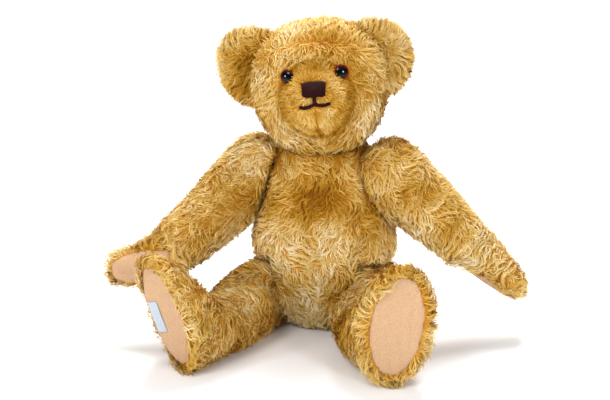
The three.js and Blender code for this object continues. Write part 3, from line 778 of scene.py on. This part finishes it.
def rim_of(pad):
    """How near points are to a pad, 0 to 1. Pile grows only beside the pad, so for it that is its edge."""
    tree = tree_of(frame["nodes"][pad].data)
    return lambda at: bell(np.array([tree.find_nearest(p)[3] for p in at.tolist()]), 8 * MM)


def past_edge(at, pad, body):
    """How far tips beside a pad stand out past it, and away from its middle."""
    aside, past = 3.5, 3.0
    middle, ways = plane_of(pad)
    out = ways[2] * np.sign((middle - middle_of(f"{body}_stuffing")) @ ways[2])
    off = at - middle
    return (unit(off - (off @ out)[:, None] * out) * aside + out * past) * MM


def add_limb(kind, side, joint, pad, count, paler, index):
    """An arm or a leg. Its pile is longer and paler at the edge of its pad."""
    joint, pad, body = f"{joint}_{side}", f"{pad}_{side}", f"{kind}_{side}"
    rim = rim_of(pad)
    add_body(
        f"{body}_skin",
        body,
        count,
        flow=limb_flow(joint, pad, 41 + index),
        length=lambda at: 10 + 4.5 * rim(at),
        shift=lambda at: paler + 0.05 * rim(at),
        seed=51 + index,
        pads=[pad],
        along=unit(middle_of(pad) - np.array(JOINTS[joint]["pos_m"])),
        lean=lambda at: rim(at)[:, None] * past_edge(at, pad, body),
    )


def add_ear(side, index):
    """An ear. Its pile stands higher and looser than elsewhere."""
    node = f"ear_{side}"
    add_body(
        node,
        "head",
        4200,
        flow=ear_flow(side),
        length=lambda at: np.full(len(at), 9.5),
        shift=ear_shift(side),
        seed=31 + index,
        along=unit(middle_of(node) - SKULL),
        height=4.2,
        loose=5.0,
    )


add_body("torso_skin", "torso", 19000, torso_flow, torso_length, torso_shift, seed=11, along=DOWN)
add_body("head_skin", "head", 19500, head_flow, head_length, head_shift, seed=21, along=UP, dense=head_dense)
for index, side in enumerate(EYES):
    add_ear(side, index)
    add_limb("arm", side, "shoulder", "paw_pad", count=10000, paler=0.12, index=index)
    add_limb("leg", side, "hip", "foot_pad", count=12600, paler=-0.01, index=index)


# ---- Felt pads ----

FELT_VOXEL = 1.9 * MM
FELT_SMOOTHING = 3  # rounds


def felt_look():
    look = Look("felt", Roughness=0.95, Sheen_Weight=0.1, Sheen_Roughness=0.5)
    look.set(look.shader, {"Sheen Tint": rgb("fff0e0"), "Specular IOR Level": 0.1})
    fibres = look.noise(900, 4, rough=0.75)
    clouds = look.noise(160, 3)
    colour = look.ramp(fibres, [(0.3, "ab8662"), (0.5, "bf9b78"), (0.7, "cdad8d")])
    look.colour(look.mix(look.spread(clouds, 0.35, 0.7, 0.0, 0.3), colour, rgb("b6916e")))
    look.bump(look.math("ADD", fibres, look.math("MULTIPLY", clouds, 0.6)), 0.5, 0.0012)
    return look.material


def add_pad(node, body):
    """A felt pad with soft rounded edges."""
    made = remeshed(node.replace("pad", "felt"), frame["nodes"][node].data, FELT_VOXEL, FELT_SMOOTHING)
    made.data.materials.append(FELT)
    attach(made, body)
    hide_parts(node)


FELT = felt_look()
for side in EYES:
    add_pad(f"paw_pad_{side}", f"arm_{side}")
    add_pad(f"foot_pad_{side}", f"leg_{side}")


# ---- Eyes ----


def eye_look():
    """Nearly black, with a dark red ring at the rim."""
    look = Look("eye_gloss", Roughness=0.03)
    look.set(look.shader, {"Specular IOR Level": 0.22})
    rim = look.math("ADD", look.number("rim"), look.spread(look.noise(500), 0.3, 0.7, -0.02, 0.02))
    colours = [(0.0, "020101"), (0.7, "040202"), (0.8, "3c0a06"), (0.91, "8c1c12"), (0.99, "4a0f0a")]
    look.colour(look.ramp(rim, colours))
    return look.material


def lathe(profile, sides):
    """A closed surface turned about Z from (radius, height) rows whose first and last radius is 0."""
    points, faces = [(0, 0, profile[0][1])], []
    turns = [2 * math.pi * i / sides for i in range(sides)]
    for r, z in profile[1:-1]:
        points += [(r * math.cos(turn), r * math.sin(turn), z) for turn in turns]
    points.append((0, 0, profile[-1][1]))
    last, rings = len(points) - 1, len(profile) - 2
    for i in range(sides):
        j = (i + 1) % sides
        faces.append((0, 1 + j, 1 + i))
        for ring in range(rings - 1):
            a, b = 1 + ring * sides, 1 + (ring + 1) * sides
            faces.append((a + i, a + j, b + j, b + i))
        faces.append((last, last - sides + i, last - sides + j))
    return points, faces


def add_eye(side):
    """A domed safety eye, turned from its profile: a back, a rounded edge, a rim and the dome."""
    at, out = EYES[side]
    radius, rim, dome, back = 7.5 * MM, 0.6 * MM, 3.8 * MM, -1.2 * MM
    rows = [(0, back), (6.6 * MM, back), (7.3 * MM, -0.8 * MM), (radius, 0.0)]
    steps, sides = 14, 48
    for i in range(1, steps):
        turn = math.pi / 2 * i / steps
        rows.append((radius * math.cos(turn), rim + dome * math.sin(turn)))
    rows.append((0, rim + dome))
    points, faces = lathe(rows, sides)
    made = add_mesh(f"eye_{side}_dome", points, faces)
    layer = made.data.attributes.new("rim", "FLOAT", "POINT")
    layer.data.foreach_set("value", [math.hypot(x, y) / radius for x, y, _ in points])
    made.data.materials.append(EYE)
    made.matrix_world = Matrix.Translation(at) @ Vector(out).to_track_quat("Z", "Y").to_matrix().to_4x4()
    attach(made, "head")
    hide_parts(f"eye_{side}")


EYE = eye_look()
for side in EYES:
    add_eye(side)


# ---- Stitching ----


def thread_look():
    look = Look("thread", Roughness=0.7)
    look.set(look.shader, {"Specular IOR Level": 0.06})
    grain = look.noise(2500, 2)
    look.colour(look.ramp(grain, [(0.3, "140504"), (0.5, "240c0a"), (0.75, "3f1b16")]))
    look.bump(grain, 0.4, 0.0004)
    return look.material


def tube(points, radius):
    """The corners and faces of a thread through points, drawn in at its ends."""
    sides, narrow = 8, 0.35
    points = np.array(points, float)
    count = len(points)
    ways = unit(np.gradient(points, axis=0))
    any_way = [0.3, 0.5, 0.8]
    side = across(np.tile(any_way, (count, 1)), ways)
    other = np.cross(ways, side)
    turn = 2 * math.pi * np.arange(sides) / sides
    from_end = np.minimum(np.arange(count), np.arange(count)[::-1])
    share = np.minimum(from_end / max(count / 8, 1), 1)
    thick = radius * (narrow + (1 - narrow) * np.sqrt(share))
    ring = np.cos(turn)[None, :, None] * side[:, None] + np.sin(turn)[None, :, None] * other[:, None]
    corners = (points[:, None] + ring * thick[:, None, None]).reshape(-1, 3)
    faces = [tuple(range(sides))[::-1], tuple(range((count - 1) * sides, count * sides))]
    for i in range(count - 1):
        for k in range(sides):
            a, b = i * sides + k, i * sides + (k + 1) % sides
            faces.append((a, b, b + sides, a + sides))
    return corners, faces


def add_threads(name, runs, body, node=None):
    """One object of many threads. Each run is (points, radius)."""
    corners, faces, first = [], [], 0
    for points, radius in runs:
        c, f = tube(points, radius)
        corners.append(c)
        faces += [tuple(i + first for i in face) for face in f]
        first += len(c)
    made = add_mesh(name, np.concatenate(corners), faces)
    made.data.materials.append(THREAD)
    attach(made, body)
    if node:
        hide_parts(node)


def curve_through(points, count):
    """A smooth curve (Catmull-Rom) through a few points, read at even steps."""
    points = np.array(points, float)
    points = np.concatenate([[2 * points[0] - points[1]], points, [2 * points[-1] - points[-2]]])
    out = []
    for t in np.linspace(0, len(points) - 3 - 1e-9, count):
        i, u = int(t), t - int(t)
        a, b, c, d = points[i : i + 4]
        square, cube = 2 * a - 5 * b + 4 * c - d, 3 * b - a - 3 * c + d
        out.append(0.5 * (2 * b + (c - a) * u + square * u**2 + cube * u**3))
    return np.array(out)


def face_point(x, z, lift):
    """The point on the face this far across and up from the nose's middle, and lifted off the skin, in mm."""
    ahead = 30
    start = NOSE + ACROSS * x * MM + UP * z * MM + AHEAD * ahead * MM
    hit = SKIN.ray_cast(Vector(start), Vector(-AHEAD))[0]
    return np.array(hit) + AHEAD * lift * MM


def add_nose():
    """Upright stitches side by side: a block with rounded corners, a little narrower at its foot, in mm."""
    threads, radius = 17, 0.82
    high, low, half_width = 6.7, -7.4, 11.6
    draw = np.random.default_rng(91)
    runs = []
    for i in range(threads):
        share = 2 * (i + 0.5) / threads - 1
        top = high + 0.9 * (1 - share**2) - 0.8 * share**8 + draw.normal(0, 0.22)
        foot = low + 1.3 * share**8 + draw.normal(0, 0.22)
        rows = []
        for t in np.linspace(0, 1, 12):
            z = top + (foot - top) * t
            wide = half_width - 1.0 * t
            swell = 2.0 * math.sqrt(1 - (2 * t - 1) ** 6) * (1 - 0.25 * share**4)
            rows.append(face_point(share * wide + draw.normal(0, 0.05), z, swell))
        runs.append((rows, radius * MM))
    add_threads("nose_stitches", runs, "head", "nose_embroidery")


def add_mouth():
    """Thick two-ply yarn: one stitch down from the nose, and two that bow out to the sides, in mm."""
    steps, lift, apart, radius = 40, 1.5, 0.8, 1.1
    turn_per_point = 7.0
    lines = [
        [(0.3, -6.6), (0.2, -10.0), (0.0, -13.8)],
        [(0.2, -13.4), (-4.0, -15.2), (-9.0, -16.4), (-14.6, -15.6)],
        [(-0.2, -13.4), (4.0, -14.9), (9.0, -15.4), (14.8, -14.2)],
    ]
    runs = []
    for line in lines:
        path = curve_through([face_point(x, z, lift) for x, z in line], steps)
        ways = unit(np.gradient(path, axis=0))
        side = across(np.tile(AHEAD, (steps, 1)), ways)
        other = np.cross(ways, side)
        for ply in range(2):
            turn = np.linspace(0, len(line) * turn_per_point, steps) + math.pi * ply
            off = np.cos(turn)[:, None] * side + np.sin(turn)[:, None] * other
            runs.append((path + off * apart * MM, radius * MM))
    add_threads("mouth_stitches", runs, "head", "mouth_embroidery")


THREAD = thread_look()
SKIN = tree_of(frame["nodes"]["head_skin"].data)
add_nose()
add_mouth()


def add_claws(pad, body, ahead, sides, long):
    """Short dark stitches in the pile past the end of a pad, this long and this far ahead of its middle."""
    radius, over = 0.6, 6  # all in mm
    middle, (run, wide, out) = plane_of(pad)
    from_limb = middle - middle_of(f"{body}_stuffing")
    run = run * np.sign(run[2] if pad.startswith("foot") else from_limb @ run)
    out = out * np.sign(from_limb @ out)
    tree = tree_of(frame["nodes"][f"{body}_skin"].data)
    runs = []
    for aside in sides:
        rows = []
        for t in np.linspace(0, 1, 8):
            start = middle + run * (ahead + long * t) * MM + wide * aside * MM
            hit, normal, _, _ = tree.find_nearest(Vector(start + out * over * MM))
            lift = 0.4 + 1.6 * math.sin(math.pi * t)
            rows.append(np.array(hit) + np.array(normal) * lift * MM)
        runs.append((rows, radius * MM))
    add_threads(pad.replace("pad", "claws"), runs, body)


for side in EYES:
    add_claws(f"foot_pad_{side}", f"leg_{side}", ahead=54, sides=(-9, 0, 9), long=6)
    add_claws(f"paw_pad_{side}", f"arm_{side}", ahead=39, sides=(-7, 0, 7), long=5)


# ---- Label ----


def label_look():
    look = Look("woven_label", Roughness=0.6, Sheen_Weight=0.2)
    place = look.node("Attribute", attribute_name="cloth").outputs["Vector"]
    threads = {"Vector": place, "Scale": 260.0}
    warp = look.node("TexWave", threads, bands_direction="X").outputs["Fac"]
    weft = look.node("TexWave", threads, bands_direction="Y").outputs["Fac"]
    weave = look.math("MULTIPLY", warp, weft)
    tone = look.math("ADD", weave, look.noise(900))
    look.colour(look.ramp(tone, [(0.3, "8e99a6"), (0.8, "a9b3be"), (1.0, "bcc5ce")]))
    look.bump(weave, 0.3, 0.0003)
    return look.material


def add_label():
    """A plain ribbon sewn on at both ends, a little bowed, over its CAD plate."""
    middle, (long, wide, out) = plane_of("foot_label")
    out = out * np.sign((middle - middle_of("foot_pad_right")) @ out)
    wide = np.cross(out, long)
    rows, columns = 28, 12
    half_long, half_wide = 15.5 * MM, 6.75 * MM
    lift, thick = 0.2, 0.45
    points, places = [], []
    for depth in (0.0, thick):
        for i in range(rows + 1):
            for k in range(columns + 1):
                a, b = 2 * i / rows - 1, 2 * k / columns - 1
                bow = 0.35 * (1 - a * a) + 0.12 * math.sin(5 * a + 1) - 0.1 * b * b
                height = (lift + bow - depth) * MM
                points.append(middle + long * a * half_long + wide * b * half_wide + out * height)
                places.append((a * half_long, b * half_wide, 0))

    def corner(layer, i, k):
        return (layer * (rows + 1) + i) * (columns + 1) + k

    faces = []
    for i in range(rows):
        for k in range(columns):
            faces.append((corner(0, i, k), corner(0, i + 1, k), corner(0, i + 1, k + 1), corner(0, i, k + 1)))
            faces.append((corner(1, i, k), corner(1, i, k + 1), corner(1, i + 1, k + 1), corner(1, i + 1, k)))
    for i in range(rows):
        for k in (0, columns):
            quad = (corner(0, i, k), corner(1, i, k), corner(1, i + 1, k), corner(0, i + 1, k))
            faces.append(quad if k == 0 else quad[::-1])
    for k in range(columns):
        for i in (0, rows):
            quad = (corner(0, i, k), corner(0, i, k + 1), corner(1, i, k + 1), corner(1, i, k))
            faces.append(quad if i == 0 else quad[::-1])
    made = add_mesh("label_ribbon", points, faces)
    layer = made.data.attributes.new("cloth", "FLOAT_VECTOR", "POINT")
    layer.data.foreach_set("vector", np.array(places, float).ravel())
    made.data.materials.append(label_look())
    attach(made, "leg_right")
    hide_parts("foot_label")


add_label()


# ---- Inner parts ----


def filling_look():
    look = Look("filling", Roughness=0.95, Sheen_Weight=0.3)
    fibres, clumps = look.noise(650, 5, rough=0.7), look.noise(90, 3)
    tufts = look.math("MULTIPLY", fibres, clumps)
    look.colour(look.ramp(tufts, [(0.1, "cfc9bb"), (0.25, "ece8de"), (0.4, "f8f6f0")]))
    look.bump(look.math("ADD", fibres, clumps), 0.8, 0.002)
    return look.material


def hardboard_look():
    look = Look("hardboard", Roughness=0.75)
    fibres, flecks = look.noise(420, 5, rough=0.7), look.noise(1500, 2)
    tone = look.math("ADD", fibres, look.spread(flecks, 0.3, 0.7, -0.1, 0.1))
    look.colour(look.ramp(tone, [(0.3, "5e3f22"), (0.7, "93693c")]))
    look.bump(fibres, 0.4, 0.0005)
    return look.material


def steel_look():
    look = Look("steel", Metallic=1.0)
    place = look.node("Mapping", {"Vector": look.place(), "Scale": (1.0, 14.0, 1.0)}).outputs["Vector"]
    brushed, stains = look.noise(500, 3, place=place), look.noise(140, 2)
    look.colour(look.ramp(stains, [(0.35, "8d8b86"), (0.65, "b4b3b0")]))
    look.set(look.shader, {"Roughness": look.spread(brushed, 0.3, 0.7, 0.28, 0.5)})
    look.bump(brushed, 0.2, 0.0002)
    return look.material


def nylon_look():
    look = Look("nylon")
    grain, marks = look.noise(1200, 2), look.noise(160, 2)
    look.colour(look.ramp(marks, [(0.35, "d9d6cc"), (0.65, "eae8e1")]))
    look.set(look.shader, {"Roughness": look.spread(grain, 0.3, 0.7, 0.4, 0.6)})
    look.bump(grain, 0.15, 0.0002)
    return look.material


def finish_inner_parts():
    """Gives the inner parts, whose CAD nodes stay in the model, the materials they are made of."""
    filling, hardboard, nylon, steel = filling_look(), hardboard_look(), nylon_look(), steel_look()
    looks = {
        "stuffing": filling,
        "disc": hardboard,
        "eye_washer_right": nylon,
        "eye_washer_left": nylon,
        "washer": steel,
        "pin": steel,
    }
    for name, node in frame["nodes"].items():
        for ending, look in looks.items():
            if name.endswith(ending):
                for slot in node.material_slots:
                    slot.material = look


finish_inner_parts()


# ---- Stage ----

# Each light's name, place in metres, size in metres and power in watts.
LIGHTS = (
    ("top", (0.0, 0.95, 1.6), 0.9, 54),
    ("key", (-0.55, -1.5, 1.6), 0.7, 17.5),
    ("side", (-1.08, -1.15, 0.52), 0.25, 8.5),
    ("fill", (0.98, -1.22, 0.66), 0.25, 10.5),
)
LIT = (0, 0, 0.15)  # what they are turned to


def add_stage():
    """A white floor and room, and four lights."""
    half = 6
    corners = [(-half, -half, 0), (half, -half, 0), (half, half, 0), (-half, half, 0)]
    floor = add_mesh("floor", corners, [(0, 1, 2, 3)], smooth=False)
    floor.location.z = CAD_BOX[0][2]
    look = Look("floor", Roughness=0.8)
    look.colour(look.ramp(look.noise(3), [(0.3, "f4f4f5"), (0.7, "f6f6f7")]))
    floor.data.materials.append(look.material)
    bpy.context.scene.world = studio()
    for light in LIGHTS:
        add_light(*light)


def studio():
    """A white room, with a dark band above its far white floor for the eyes to mirror."""
    world = bpy.data.worlds.new("studio")
    world.use_nodes = True
    nodes, links = world.node_tree.nodes, world.node_tree.links
    height = nodes.new("ShaderNodeSeparateXYZ")
    links.new(nodes.new("ShaderNodeTexCoord").outputs["Generated"], height.inputs[0])
    ramp = nodes.new("ShaderNodeValToRGB")
    stops = ramp.color_ramp.elements
    for at in (0.4, 0.6):
        stops.new(at)
    for stop, (at, grey) in zip(stops, [(0.08, 1), (0.12, 0.2), (0.32, 0.2), (0.75, 1)]):
        stop.position, stop.color = at, (grey, grey, grey, 1)
    links.new(height.outputs["Z"], ramp.inputs["Fac"])
    background = nodes["Background"]
    links.new(ramp.outputs["Color"], background.inputs["Color"])
    background.inputs["Strength"].default_value = 0.66
    return world


def add_light(name, at, size, power):
    data = bpy.data.lights.new(name, "AREA")
    data.size, data.energy = size, power
    light = bpy.data.objects.new(name, data)
    light.location = at
    light.rotation_euler = (Vector(at) - Vector(LIT)).to_track_quat("Z", "Y").to_euler()
    bpy.context.scene.collection.objects.link(light)


add_stage()
bpy.context.scene.view_settings.view_transform = "Standard"
